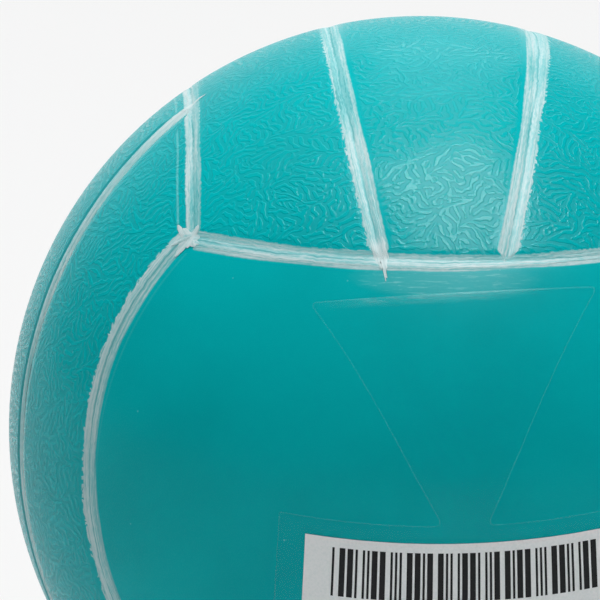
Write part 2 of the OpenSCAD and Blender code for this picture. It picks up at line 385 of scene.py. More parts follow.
def seam_place(points):
    """Where points on the unit ball lie beside their nearest seam: distance from it and place along it in
    millimetres, the side they are on (0 where strips end at it, 1 on the panel that it runs along, 2 and 3
    outside and inside a strip seam), the seam's number, and the share of its length from -1 to 1."""
    size = np.abs(points)
    upper = (size[:, 2] >= CORNER) & (size[:, 0] <= CORNER)
    sideways = ~upper & (size[:, 0] >= CORNER) & (size[:, 1] <= CORNER)
    step = np.where(upper, 0, np.where(sideways, 1, 2))
    x, y, z = np.take_along_axis(points, (np.arange(3)[None, :] + step[:, None]) % 3, axis=1).T
    plain = (step == 2) & (points[:, 1] < 0)
    from_strip = np.arcsin(np.abs(x) * math.cos(STRIP_ANGLE) - np.abs(z) * math.sin(STRIP_ANGLE))
    gaps = np.stack([
        np.arcsin(np.clip(np.abs(z), -1, 1)) - SEAM_LAT,
        SEAM_LAT - np.arcsin(np.clip(np.abs(x), -1, 1)),
        np.where(plain, NO_STRIP, from_strip),
    ]) * BALL_R
    bearings = np.stack([
        -np.arctan2(x, np.abs(y)) * np.sign(y) * np.sign(z),
        -np.arctan2(y, np.abs(z)) * np.sign(z) * np.sign(x),
        np.arcsin(np.clip(y, -1, 1)) * np.sign(z),
    ])
    nearest = np.argmin(np.abs(gaps), axis=0)
    pick = (nearest, np.arange(len(points)))
    side = np.where((nearest == 2) & (from_strip < 0), 3, nearest)
    number = seam_number(
        np.where(nearest == 1, (step + 1) % 3, step),
        np.where(nearest == 1, x, z),
        np.choose(nearest, [y, z, x]),
    )
    strip = nearest == 2
    run = bearings[pick] * np.where(strip, 1, RING) * BALL_R + RUN_APART * (number + len(EDGES) * strip)
    share = bearings[pick] / np.where(strip, STRIP_END, math.pi / 4)
    return np.abs(gaps[pick]), run, side, number, share


def seam_number(step, side, hand):
    """Number of an edge or strip seam among its kind, from its turn of the layout and its two sides."""
    return 4 * step + 2 * (side > 0) + (hand > 0)


def skin_drop(gap, groove=1.0):
    """How far the skin lies below the ball's radius at a distance from a seam, with a share of its groove."""
    shoulder = SHOULDER_DEPTH * np.clip(1 - (gap - GROOVE_HALF) / (SHOULDER_W - GROOVE_HALF), 0, 1) ** 2
    return shoulder + groove * GROOVE_DEPTH * np.clip(1 - gap / GROOVE_HALF, 0, 1)


def finished(bm, name):
    """Writes what was modelled to a mesh of its own."""
    mesh = bpy.data.meshes.new(name)
    bm.to_mesh(mesh)
    bm.free()
    return mesh


def grid_mesh(name, across, along):
    """A flat grid, and each vertex's place across and along it from 0 to 1."""
    bm = bmesh.new()
    bmesh.ops.create_grid(bm, x_segments=across, y_segments=along, size=0.5)
    mesh = finished(bm, name)
    return mesh, places(mesh)[:, :2] + 0.5


def places(mesh):
    found = np.zeros(len(mesh.vertices) * 3, np.float32)
    mesh.vertices.foreach_get("co", found)
    return found.reshape(-1, 3).astype(float)


def write_places(mesh, points):
    mesh.vertices.foreach_set("co", (points * MM).astype(np.float32).ravel())
    mesh.update()


def store(mesh, **marks):
    """Keeps a value or a place for every vertex under each name."""
    for name, values in marks.items():
        kind, key = ("FLOAT", "value") if values.ndim == 1 else ("FLOAT_VECTOR", "vector")
        made = mesh.attributes.new(name, kind, "POINT")
        made.data.foreach_set(key, values.astype(np.float32).ravel())


def placed(name, data):
    """A new object in the scene."""
    made = bpy.data.objects.new(name, data)
    bpy.context.scene.collection.objects.link(made)
    return made


def piece(name, mesh, material, nodes, body="ball"):
    """Turns the faces outwards and makes the mesh a piece that stands for CAD nodes."""
    tested = mesh.polygons[:FACES_TESTED]
    middle = np.array([p.center for p in tested])
    normal = np.array([p.normal for p in tested])
    if (middle * normal).sum() < 0:
        mesh.flip_normals()
    mesh.shade_smooth()
    mesh.materials.append(material)
    made = placed(name, mesh)
    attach(made, body)
    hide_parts(*nodes)


# Finishes

def worm_field(f, at):
    """Height of the worm grain, 0 in valleys and 1 on flat tops: bands of one pitch that keep turning."""
    heading = f.times(f.noise(at, GRAIN_TURN, 1.0), GRAIN_SWING)
    bands = f.node("TexGabor", gabor_type="2D")
    f.fill(bands, Vector=at, Scale=1 / (GRAIN_PITCH * GRAIN_BANDS), Frequency=GRAIN_BANDS)
    f.fill(bands, Anisotropy=GRAIN_ORDER, Orientation=heading)
    return f.ramp(bands.outputs["Value"], *GRAIN_SLOPE)


def paint_colour(f, run, gap):
    """Dry brushed paint, drawn along the seam: white where the brush left much, else thin or bare."""
    long_streak = f.streaks(run, gap, along=0.035, across=1.9, detail=4.0, roughness=0.62)
    fleck = f.streaks(run, gap, along=0.45, across=1.7, detail=4.0, roughness=0.65)
    left = f.plus(f.times(long_streak, 0.6), f.times(fleck, 0.4))
    better = f.times(f.minus(f.attribute("paint_cover"), 0.5), 0.4)
    cover = f.plus(left, better)
    white = f.mix(f.ramp(cover, 0.36, 0.68), PAINT_THIN, PAINT_WHITE)
    bare = f.times(f.ramp(cover, 0.38, 0.28), 0.7)
    return f.mix(bare, white, TEAL_DEEP), cover


def skin_finish(name, grain_depth, gloss, shine):
    """Satin vinyl with brushed paint along the seams, smooth or with grain that starts beyond them."""
    f = Finish(name)
    at = f.object_mm()
    gap = f.attribute("seam_gap")
    run = f.attribute("seam_run")
    ragged = f.attribute("paint_ragged")
    mottle = f.ramp(f.noise(at, scale=0.035, detail=3.0), 0.35, 0.75)
    base = f.mix(f.times(mottle, 0.3), TEAL, TEAL_DEEP)
    fine = f.noise(at, scale=3.5, detail=3.0, roughness=0.6)
    slant = f.plus(f.times(run, 0.65), f.times(gap, 0.55))
    teeth = f.noise(f.place(slant, f.times(gap, 0.3)), detail=5.0, roughness=0.66)
    stray = f.times(f.minus(teeth, 0.5), f.times(ragged, TOOTH_REACH))
    reach = f.plus(f.attribute("paint_reach"), stray)
    relief = f.times(fine, 0.06)
    rough = gloss
    if grain_depth:
        base, rough, height, swell = grain_marks(f, base, gloss)
        relief = f.plus(relief, height)
        reach = f.plus(reach, f.times(swell, ragged))
    else:
        base = handling_marks(f, base, at)
    painted = f.ramp(f.minus(reach, gap), -0.22, 0.24)
    white, _ = paint_colour(f, run, gap)
    rough = f.plus(rough, f.times(painted, 0.2))
    rough = f.plus(rough, f.times(f.minus(fine, 0.5), 0.12))
    return f.surface(
        Base_Color=f.mix(painted, base, white),
        Roughness=rough,
        Specular_IOR_Level=shine,
        Normal=f.bump(f.plus(relief, f.times(painted, 0.3)), grain_depth or 0.02),
    )


def grain_marks(f, base, gloss):
    """Worm grain with painted shade in its valleys, and beside two seams of the left panel a bare valley
    darkened with painted shade and a shoulder with a painted highlight: the skin's colour and roughness, the
    grain's height, and how much further paint reaches on it."""
    worms = worm_field(f, f.attribute("grain_at", "Vector"))
    hollow = f.ramp(f.distance("valley_gap"), 1.3, 0.7)
    rise = f.ramp(f.attribute("grain_gap"), -GRAIN_FADE, GRAIN_FADE)
    start = f.times(rise, f.minus(1.0, hollow))
    valley = f.times(f.minus(1.0, worms), start)
    # Painted shade: the grain's valleys are darkened towards TEAL_DEEP
    base = f.mix(f.times(valley, GRAIN_SHADE), base, TEAL_DEEP)
    # Painted shade: the bare valley behind the left panel's front strip line is darkened towards TEAL_SHADE
    base = f.mix(f.times(hollow, VALLEY_SHADE), base, TEAL_SHADE)
    # Painted highlight: a pale line on the left panel's shoulder beside the top-left seam
    crest = f.ramp(f.distance("crest_gap"), 0.5, 0.1)
    base = f.mix(f.times(crest, CREST_SHINE), base, TEAL_PALE)
    rough = f.plus(f.plus(gloss, f.times(valley, 0.18)), f.times(hollow, 0.45))
    return base, rough, f.times(worms, start), f.times(f.minus(worms, 0.5), WORM_SWELL)


def handling_marks(f, base, at):
    """Marks on the smooth skin: a painted highlight along the soft step of the mould's inset, dust, and
    scratches above the label under a painted glare.
    """
    # Painted highlight: a pale line along the soft step of the mould's inset
    step = f.ramp(f.distance("inset_gap"), 0.5, 0.05)
    base = f.mix(f.times(step, 0.09), base, TEAL_PALE)
    grit = f.fill(f.node("TexVoronoi"), Vector=at, Scale=0.14)
    kept = f.ramp(f.node("SeparateColor", grit.outputs["Color"]).outputs[0], 0.45, 0.55)
    speck = f.times(f.ramp(grit.outputs["Distance"], 0.045, 0.025), kept)
    base = f.mix(f.times(speck, 0.45), base, TEAL_PALE)
    scratch_at = f.stretched(at, 0.35, (0.10, 1.0, 1.7))
    scratch = f.ramp(f.noise(scratch_at, detail=5.0, roughness=0.7), 0.52, 0.66)
    x, _, z = f.node("SeparateXYZ", at).outputs
    off_x = f.math("DIVIDE", f.minus(x, WORN_X[0]), WORN_X[1])
    off_z = f.math("DIVIDE", f.minus(z, WORN_Z[0]), WORN_Z[1])
    off = f.plus(f.times(off_x, off_x), f.times(off_z, off_z))
    # Scratches with a painted glare over them, pale above the label
    worn = f.times(f.ramp(off, 1.0, 0.1), f.plus(0.26, f.times(scratch, 0.62)))
    return f.mix(worn, base, TEAL_PALE)


def stroke_finish():
    """Brushed white paint that lets the groove show as a broken line."""
    f = Finish("brushed_seam_paint")
    gap = f.attribute("seam_gap")
    run = f.attribute("seam_run")
    white, cover = paint_colour(f, run, gap)
    sway = f.noise(f.place(f.times(run, 0.04), 3.0))
    drift = f.times(f.minus(sway, 0.5), 0.9)
    hollow = f.ramp(f.math("ABSOLUTE", f.plus(gap, drift)), 0.36, 0.10)
    broken = f.ramp(f.noise(f.place(f.times(run, 0.05), 0.0), detail=3.0), 0.34, 0.50)
    open_run = f.times(f.attribute("groove_shown"), GROOVE_SHOWN)
    shown = f.times(hollow, f.times(broken, open_run))
    bristle = f.streaks(run, gap, along=0.10, across=4.0, detail=3.0)
    lay = f.plus(f.times(bristle, 0.6), f.times(cover, 0.5))
    return f.surface(
        Base_Color=f.mix(shown, white, TEAL_DEEP),
        Roughness=f.plus(0.40, f.times(cover, 0.2)),
        Specular_IOR_Level=0.3,
        Normal=f.bump(lay, depth=0.12),
    )


def film_finish():
    """Clear film with a painted highlight line along its cut edge, and pale scuffs under a painted glare at
    its top.
    """
    f = Finish("clear_label_film")
    at = f.object_mm()
    ripple = f.bump(f.noise(at, scale=0.09), depth=0.05)
    gloss = f.fill(f.node("BsdfGlossy"), Color=(1, 1, 1, 1), Roughness=0.15, Normal=ripple)
    clear = f.node("BsdfTransparent", (0.985, 0.995, 0.995, 1))
    facing = f.minus(1.0, f.node("NewGeometry").outputs["Backfacing"])
    share = f.times(f.node("Fresnel", 1.12, ripple).outputs[0], facing)
    sheet = f.blend(share, clear, gloss)
    scuff_at = f.stretched(at, -0.06, (0.07, 1.0, 1.5))
    scuff = f.ramp(f.noise(scuff_at, detail=4.0, roughness=0.7), 0.38, 0.62)
    # Scuffs under a painted glare along the film's top
    near_top = f.ramp(f.attribute("below_top"), 2.6, 0.2)
    band = f.times(near_top, f.ramp(f.attribute("across_film"), 30.0, 6.0))
    worn = f.times(band, f.plus(0.14, f.times(scuff, 0.46)))
    # Painted highlight line along the film's cut edge
    pale = f.math("MAXIMUM", worn, f.times(f.attribute("film_rim"), 0.22))
    haze = f.node("BsdfDiffuse", TEAL_PALE)
    return f.end(f.blend(f.times(pale, facing), sheet, haze))


def print_finish(name, main, second, roughness, shine):
    """Screen print with a slightly uneven lay."""
    f = Finish(name)
    at = f.object_mm()
    lay = f.noise(at, scale=1.6, detail=4.0, roughness=0.6)
    return f.surface(
        Base_Color=f.mix(f.ramp(lay, 0.35, 0.75), main, second),
        Roughness=f.plus(roughness, f.times(lay, 0.1)),
        Specular_IOR_Level=shine,
        Normal=f.bump(f.noise(at, scale=6.0, detail=3.0), depth=0.01),
    )


def rubber_finish():
    """Pale moulded rubber with a dusty grain."""
    f = Finish("valve_rubber")
    at = f.object_mm()
    dust = f.noise(at, scale=1.1, detail=5.0, roughness=0.65)
    return f.surface(
        Base_Color=f.mix(f.ramp(dust, 0.4, 0.75), RUBBER, RUBBER_DUST),
        Roughness=f.plus(0.5, f.times(dust, 0.2)),
        Normal=f.bump(f.noise(at, scale=9.0, detail=3.0), depth=0.02),
    )


# Skin panels

def strip_line(angle, tilt):
    """Points of a great circle that is tilted from the upper panel's middle."""
    return np.stack([math.sin(tilt) * np.cos(angle), np.sin(angle), math.cos(tilt) * np.cos(angle)], axis=1)


def border(kind, side, t):
    """A panel's long border on the unit ball, seen on the upper panel, from front to back."""
    run = 2 * t - 1
    if kind == "strip":
        return strip_line(run * STRIP_END, side * STRIP_ANGLE)
    angle = run * math.pi / 4
    return np.stack([np.full_like(t, side * CORNER), RING * np.sin(angle), RING * np.cos(angle)], axis=1)


def end_arc(left, right, back, s):
    """A panel's short border, between the ends of its long ones."""
    first, last = (math.atan2(p[0], abs(p[1])) for p in (left, right))
    angle = first + (last - first) * s
    return np.stack([RING * np.sin(angle), back * RING * np.cos(angle), np.full_like(s, CORNER)], axis=1)


def patch(left, right, s, t):
    """Points of the unit ball between two long borders, spread evenly between all four sides."""
    low, high = border(*left, t), border(*right, t)
    ends = np.array([0.0, 1.0])
    a, b = border(*left, ends), border(*right, ends)
    front, back = end_arc(a[0], b[0], -1, s), end_arc(a[1], b[1], 1, s)
    s, t = s[:, None], t[:, None]
    inside = (1 - s) * low + s * high + (1 - t) * front + t * back
    inside -= (1 - s) * (1 - t) * a[0] + s * (1 - t) * b[0] + (1 - s) * t * a[1] + s * t * b[1]
    return inside / np.linalg.norm(inside, axis=1, keepdims=True)


def closer_at_ends(share, width):
    """Spreads grid lines so that a part of them lies close to either side."""
    edge = NEAR_SEAM / width
    return np.interp(share, [0, NEAR_CELLS, 1 - NEAR_CELLS, 1], [0, edge, 1 - edge, 1])


def paint_spread(run, side, number, share, plain):
    """How far the paint spreads from a seam, how ragged it ends and how well it covers."""
    slow = sum(np.sin(run * rate + shift) for rate, shift in SLOW_WAVES)
    reach = np.choose(side, [along_seam(table, number, share) for table in PAINT_WIDTHS]) + SLOW_REACH * slow
    torn = along_seam(EDGE_RAGGED, number, share)
    ragged = np.choose(side, [RAGGED_END, torn, RAGGED_OUTER, RAGGED_MIDDLE])
    lean = np.choose(side, [1, -1, 0, 0]) * along_seam(EDGE_LEAN, number, share)
    better = np.where(side > 1, along_seam(STRIP_COVER, number, share), LEAN_WEIGHT * lean)
    return reach, np.full_like(reach, RAGGED_PLAIN) if plain else ragged, 0.5 + better + SLOW_COVER * slow


def cut_round_hole(mesh, radius):
    """Opens the skin round the valve's axis, with the cut edge on a true circle."""
    bm = bmesh.new()
    bm.from_mesh(mesh)
    inside = [v for v in bm.verts if v.co.y > 0 and math.hypot(v.co.x, v.co.z) < radius * MM]
    bmesh.ops.delete(bm, geom=inside, context="VERTS")
    edge = {v for e in bm.edges if e.is_boundary for v in e.verts}
    for v in edge:
        off = math.hypot(v.co.x, v.co.z)
        if off < (radius + 5) * MM:
            share = radius * MM / off
            v.co = Vector((v.co.x * share, on_skin(radius) * MM, v.co.z * share))
    bm.to_mesh(mesh)
    bm.free()


def inset_gap(points):
    """Distance from the soft step that the mould's inset leaves beside the front panel's left seam, along
    which a highlight line is painted, until it runs into the paint lower down."""
    from_seam = (np.arcsin(np.clip(-points[:, 1], -1, 1)) - SEAM_LAT) * BALL_R
    height = points[:, 2] * BALL_R
    far = np.where((points[:, 0] < 0) & (height < INSET_TOP), 0, FAR)
    return from_seam - (INSET_OFF - INSET_LEAN * height) + far


def skin_panel(name, step, side, left, right, size, cells, material, index):
    """One moulded panel or strip, with shoulders that roll down to its seams."""
    mesh, share = grid_mesh(name, *cells)
    s, t = (closer_at_ends(share[:, i], size[i]) for i in (0, 1))
    flat = patch(left, right, s, t)
    points = on_panel(flat, step, side)
    gap, run, beside, number, along = seam_place(points)
    write_places(mesh, points * (BALL_R - skin_drop(gap))[:, None])
    plain = name == "skin_front"
    reach, ragged, cover = paint_spread(run, beside, number, along, plain)
    store(mesh, seam_gap=gap, seam_run=run)
    store(mesh, paint_reach=reach, paint_ragged=ragged, paint_cover=cover)
    if plain:
        store(mesh, inset_gap=inset_gap(points))
    else:
        store(mesh, grain_gap=gap - np.choose(beside, GRAIN_FROM), grain_at=grain_place(flat, index))
        beyond = gap - reach
        # Where the painted highlight on the crest and the painted shade in the valley lie beside the left
        # panel's seams
        by_crest = (beside == 0) & (number == seam_number(*EDGES["top_left"]))
        by_valley = (beside == 3) & (number == seam_number(*STRIPS["left_front"]))
        store(mesh, crest_gap=np.where(by_crest, beyond - CREST_OFF, FAR))
        store(mesh, valley_gap=np.where(by_valley, beyond - VALLEY_OFF, FAR))
    if name == VALVE_PANEL:
        cut_round_hole(mesh, COLLAR_R)
    piece(name, mesh, material, ["ball_shell"])


def grain_place(flat, index):
    """Where a panel's points lie in the flat pattern of the grain. Each panel has its own part of it."""
    bearing = np.arctan2(flat[:, 0], flat[:, 2])
    lift = np.arcsin(np.clip(flat[:, 1], -1, 1))
    middle = (bearing.min() + bearing.max()) / 2
    return np.stack([
        BALL_R * (bearing - middle) * np.cos(lift) + GRAIN_NEXT[0] * index,
        BALL_R * lift + GRAIN_NEXT[1] * index,
        np.ones_like(lift),
    ], axis=1)


def skin_panels(plain):
    grained = skin_finish("grained_skin", GRAIN_DEPTH, gloss=0.17, shine=0.07)
    index = 0
    for panel, (step, side) in PANELS.items():
        for strip, (left, right) in STRIP_SIDES.items():
            index += 1
            name = f"skin_{panel}_{strip}"
            cells = VALVE_CELLS if name == VALVE_PANEL else STRIP_CELLS
            size = MIDDLE_SIZE if strip == "middle" else OUTER_SIZE
            skin_panel(name, step, side, left, right, size, cells, grained, index)
    skin_panel("skin_front", 2, -1, ("edge", -1), ("edge", 1), FRONT_SIZE, FRONT_CELLS, plain, 0)


# Strokes

def wander(count, span, size):
    """A seeded line that wanders about 0, with bends of about span steps."""
    knots = rng.normal(0, size, count // span + 3)
    return np.interp(np.arange(count) / span, np.arange(len(knots)), knots)


def stroke(name, node, place, number, length, ends, sides, lean, cover, lift, material):
    """One brush stroke. place(along, across) gives its points for millimetres along and across the seam. It
    runs past its seam's ends by the two lengths in ends, to tips of a share of its width. It is as wide to
    either side as the two tables in sides say, and covers best on the side that lean points to."""
    *over, blunt = ends
    rows = int(length)
    mesh, share = grid_mesh(name, STROKE_COLUMNS, rows)
    full = length + sum(over)
    along = share[:, 1] * full - length / 2 - over[0]
    row = np.rint(share[:, 1] * rows).astype(int)
    tuft = np.rint(share[:, 0] * STROKE_COLUMNS).astype(int) // TUFT_COLUMNS
    frayed = rng.uniform(TUFT_LEAST, 1, (2, STROKE_COLUMNS // TUFT_COLUMNS + 1))
    before = np.minimum(along + length / 2, 0) * frayed[0, tuft]
    after = np.maximum(along - length / 2, 0) * frayed[1, tuft]
    along = np.clip(along, -length / 2, length / 2) + before + after
    side = 2 * share[:, 0] - 1
    side = np.sign(side) * np.abs(side) ** COLUMN_CROWD
    line = np.linspace(0, full, rows + 1)
    first, last = (TIP_LEAST + (TIP_STRETCH - TIP_BLUNT * blunt) * past for past in over)
    tip = blunt + (1 - blunt) * smooth(0, first, line) * smooth(0, last, line[::-1])
    stations = 2 * (line - over[0]) / length - 1
    low, high = (
        along_seam(table, number, stations) - STROKE_INSET
        + wander(rows + 1, *EDGE_WANDER[0]) + wander(rows + 1, *EDGE_WANDER[1])
        for table in sides
    )
    half = (np.maximum((low + high) / 2, STROKE_LEAST) * tip)[row]
    from_middle = side * half
    points = place(along, (high - low)[row] / 2 + from_middle)
    gap, run = seam_place(points)[:2]
    past_end = 0
    if max(over) > LONG_OVER:
        past_end = smooth(length / 2 - LONG_FROM[0], length / 2 - LONG_FROM[1], np.abs(along))
    coat = lift + STROKE_LIFT * (1 - np.abs(side) ** 4) + LONG_LIFT * past_end
    write_places(mesh, points * (BALL_R - skin_drop(gap, PAINTED_GROOVE) + coat)[:, None])
    store(mesh, seam_gap=from_middle, seam_run=run)
    store(mesh, groove_shown=smooth(*GROOVE_FROM, half) * (1 - past_end) * (cover < FILLING_COVER))
    uneven = cover + wander(rows + 1, *COVER_WANDER)[row]
    store(mesh, paint_cover=uneven + LEAN_WEIGHT * lean * side + LONG_COVER * past_end)
    piece(name, mesh, material, [node])


def edge_stroke(name, place, lift, material):
    def on_seam(along, across):
        bearing = along / (BALL_R * RING)
        lat = SEAM_LAT + across / BALL_R
        level = np.cos(lat)
        flat = np.stack([level * np.sin(bearing), -level * np.cos(bearing), np.sin(lat)], axis=1)
        return on_edge(flat, *place)
    length = BALL_R * RING * math.pi / 2
    number = seam_number(*place)
    ends = (*rng.uniform(*EDGE_OVER, 2), USUAL_TIP)
    stroke(f"edge_stroke_{name}", f"edge_line_{name}", on_seam, number, length, ends,
           (PAINT_WIDTHS[1], PAINT_WIDTHS[0]), EDGE_LEAN[number, 0], EDGE_BASE, lift, material)


def strip_stroke(name, place, lift, material):
    step, side, hand = place
    tilt = hand * STRIP_ANGLE

    def on_seam(along, across):
        off = across / BALL_R
        sideways = np.array([math.cos(tilt), 0, -math.sin(tilt)])
        flat = np.cos(off)[:, None] * strip_line(along / BALL_R, tilt) + np.sin(off)[:, None] * sideways
        return on_panel(flat, step, side)
    length = 2 * BALL_R * STRIP_END
    ends = STRIP_OVER.get(name, (*rng.uniform(*STRIP_PAST, 2), USUAL_TIP))
    sides = PAINT_WIDTHS[2:] if hand < 0 else PAINT_WIDTHS[:1:-1]
    number = seam_number(*place)
    stroke(f"strip_stroke_{name}", f"strip_line_{name}", on_seam, number, length, ends, sides, 0.0,
           STRIP_BASE + STRIP_COVER[number, 0], lift, material)


def corner_dabs(material):
    """Dabs of paint where three edge strokes meet: short strokes that cross at each of the eight corners."""
    corners = np.array(np.meshgrid([-1, 1], [-1, 1], [-1, 1])).T.reshape(-1, 3)
    count = len(corners) * DAB_STROKES
    chance = np.random.default_rng(DAB_SEED)

    def drawn(span):
        return chance.uniform(*span, (count, 1))

    bm = bmesh.new()
    for _ in range(count):
        bmesh.ops.create_grid(bm, x_segments=DAB_CELLS[0], y_segments=DAB_CELLS[1], size=0.5)
    mesh = finished(bm, "corner_dabs")
    share = places(mesh).reshape(count, -1, 3)
    lengths = drawn(DAB_LENGTH)
    widths = drawn(DAB_WIDTH)
    taper = np.sqrt(np.clip(1 - (2 * np.abs(share[..., 1])) ** 3, 0.03, 1))
    taper = taper + chance.normal(0, 0.05, share.shape[:2])
    along = share[..., 1] * lengths
    across = share[..., 0] * widths * taper
    out = drawn(DAB_OUT)
    aside = drawn(DAB_ASIDE)
    turn = np.tile(np.arange(DAB_STROKES) % 3, len(corners))[:, None] * 2 * math.pi / 3
    turn = turn + drawn(DAB_TURN)
    flat_a = (along + out) * np.cos(turn) - (across + aside) * np.sin(turn)
    flat_b = (along + out) * np.sin(turn) + (across + aside) * np.cos(turn)
    corner = np.repeat(corners, DAB_STROKES, axis=0)[:, None, :]
    first = corner * (-1, 1, 0) / math.sqrt(2)
    second = np.cross(corner / math.sqrt(3), first)
    middle = corner * (CORNER * BALL_R + np.array(DAB_SHIFT))
    points = (middle + flat_a[..., None] * first + flat_b[..., None] * second).reshape(-1, 3)
    points /= np.linalg.norm(points, axis=1, keepdims=True)
    gap = seam_place(points)[0]
    layer = DAB_LAYER * np.tile(np.arange(DAB_STROKES), len(corners))[:, None]
    rise = (DAB_LIFT + layer + DAB_CROWN * (1 - (2 * share[..., 0]) ** 4)).ravel()
    write_places(mesh, points * (BALL_R - np.minimum(skin_drop(gap), DAB_SINK) + rise)[:, None])
    cover = np.broadcast_to(drawn(DAB_COVER), along.shape)
    streak = along * 2 + DAB_STREAKS[1] * np.arange(count)[:, None]
    store(mesh, seam_gap=(across + DAB_STREAKS[0]).ravel(), seam_run=streak.ravel())
    store(mesh, paint_cover=cover.ravel())
    piece("corner_paint_dabs", mesh, material, ["corner_dabs"])


def seam_paint():
    material = stroke_finish()
    for i, (name, place) in enumerate(STRIPS.items()):
        strip_stroke(name, place, STRIP_LAYER + NEXT_LAYER * i, material)
    for i, (name, place) in enumerate(EDGES.items()):
        edge_stroke(name, place, EDGE_LAYER + NEXT_LAYER * i, material)
    corner_dabs(material)


# Label

def laid(flat):
    """Where points of the flat film come to lie, seen from the front, as in the part's source: level lines
    bow away from the film's middle, and the upper part is drawn in and turned a little further."""
    up = np.maximum(flat[:, 2], 0) / FILM_TOP_H
    bow = FILM_BOW / (FILM_LOW_W / 2) ** 2 * (1 - 2 * up)
    draw = FILM_DRAW * 4 * up * (1 - up)
    u = flat[:, 0] * (1 - draw - bow * np.minimum(flat[:, 2], 0))
    v = flat[:, 2] + bow * flat[:, 0] ** 2
    angle = FILM_TURN + UPPER_TURN * np.minimum(5 * up, 1)
    x = u * np.cos(angle) - v * np.sin(angle) + FILM_SHIFT
    z = u * np.sin(angle) + v * np.cos(angle) - FILM_DROP
    return x, z


def round_corners(bm, chosen, radius):
    corners = [v for v in bm.verts if chosen(v.co)]
    bmesh.ops.bevel(bm, geom=corners, offset=radius, offset_type="OFFSET", segments=6, profile=0.5,
                    affect="VERTICES", material=-1)


def label_film(material):
    """Die-cut film: its outline with rounded corners, cut into cells and laid on the front panel."""
    bm = bmesh.new()
    top, neck, low = FILM_TOP_W / 2, FILM_NECK_W / 2, FILM_LOW_W / 2
    outline = [
        (-top, FILM_TOP_H), (-neck, 0), (-low, 0), (-low, -FILM_LOW_H),
        (low, -FILM_LOW_H), (low, 0), (neck, 0), (top, FILM_TOP_H),
    ]
    bm.faces.new([bm.verts.new((x, 0, z)) for x, z in outline])
    round_corners(bm, lambda p: abs(p.x) > low - 0.1, FILM_LOW_CORNER)
    round_corners(bm, lambda p: p.z > 1 or abs(p.x) < FILM_NECK_W, FILM_CORNER)
    bmesh.ops.inset_region(bm, faces=bm.faces[:], thickness=FILM_RIM, use_boundary=True)
    rim = {v for e in bm.edges if e.is_boundary for v in e.verts}
    for v in rim:
        v.co.y = 1
    for normal, reach in (((1, 0, 0), low), ((0, 0, 1), FILM_TOP_H)):
        last = int(reach / FILM_CELL) + 1
        for k in range(-last, last + 1):
            place = [n * (k * FILM_CELL + FILM_CELL_OFF) for n in normal]
            everything = bm.verts[:] + bm.edges[:] + bm.faces[:]
            bmesh.ops.bisect_plane(bm, geom=everything, dist=1e-4, plane_co=place, plane_no=normal)
    mesh = finished(bm, "label_film")
    flat = places(mesh)
    x, z = laid(flat)
    radius = BALL_R + np.where(flat[:, 1] > 0.5, FILM_UNDER, FILM_OVER)
    write_places(mesh, np.stack([x, -np.sqrt(radius ** 2 - x ** 2 - z ** 2), z], axis=1))
    off_scuff = np.abs(flat[:, 0] + SCUFF_OFF)
    store(mesh, film_rim=flat[:, 1], below_top=FILM_TOP_H - flat[:, 2], across_film=off_scuff)
    piece("label_film_sheet", mesh, material, ["label_film"])


def label():
    label_film(film_finish())
    white = print_finish("label_white_print", LABEL_WHITE, LABEL_GREY, roughness=0.45, shine=0.5)
    dark = print_finish("label_dark_print", INK, INK_THIN, roughness=0.5, shine=0.15)
    for node, material in (("label_block", white), ("label_bars", dark)):
        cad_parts[node].data.materials[0] = material


# Valve

def spun(name, profile, steps):
    """A profile of (radius, height) points turned about the valve's axis, +Y."""
    bm = bmesh.new()
    line = [bm.verts.new((r, y, 0)) for r, y in profile]
    edges = [bm.edges.new(pair) for pair in zip(line, line[1:])]
    bmesh.ops.spin(bm, geom=line + edges, axis=(0, 1, 0), cent=(0, 0, 0), angle=2 * math.pi, steps=steps,
                   use_merge=True)
    bmesh.ops.remove_doubles(bm, verts=bm.verts, dist=1e-4)
    bmesh.ops.recalc_face_normals(bm, faces=bm.faces)
    mesh = finished(bm, name)
    mesh.transform(Matrix.Scale(MM, 4))
    mesh.set_sharp_from_angle(angle=math.radians(50))
    return mesh


def on_skin(radius):
    """Height of the skin at a distance from the valve's axis."""
    return math.sqrt(BALL_R ** 2 - radius ** 2)


def valve_collar(material):
    """Smooth moulded pad round the valve, its sunk seat and the neck that grips the plug."""
    seat = PLUG_TOP - HEAD_T - PLUG_GAP
    pad = [(r, on_skin(r)) for r in np.linspace(COLLAR_R, SEAT_R + 0.3, 6)]
    lip = [(SEAT_R + 0.08, on_skin(SEAT_R) - 0.06), (SEAT_R, on_skin(SEAT_R) - 0.22)]
    well = [(SEAT_R, seat + 0.15), (SEAT_R - 0.15, seat), (BORE_R + 0.2, seat), (BORE_R, seat - 0.2)]
    foot = seat - NECK_LEN
    neck = [(BORE_R, foot), (NECK_R - 0.3, foot), (NECK_R, foot + 0.3), (NECK_R, on_skin(NECK_R) - SKIN_T)]
    tuck = [(COLLAR_R + 0.5, on_skin(COLLAR_R + 0.5) - 0.04)]
    mesh = spun("valve_collar", tuck + pad + lip + well + neck, steps=96)
    none = np.zeros(len(mesh.vertices))
    store(mesh, seam_run=none, paint_reach=none, paint_ragged=none, paint_cover=none)
    store(mesh, seam_gap=none + FAR, inset_gap=none + FAR)
    piece("valve_collar", mesh, material, ["ball_shell"])


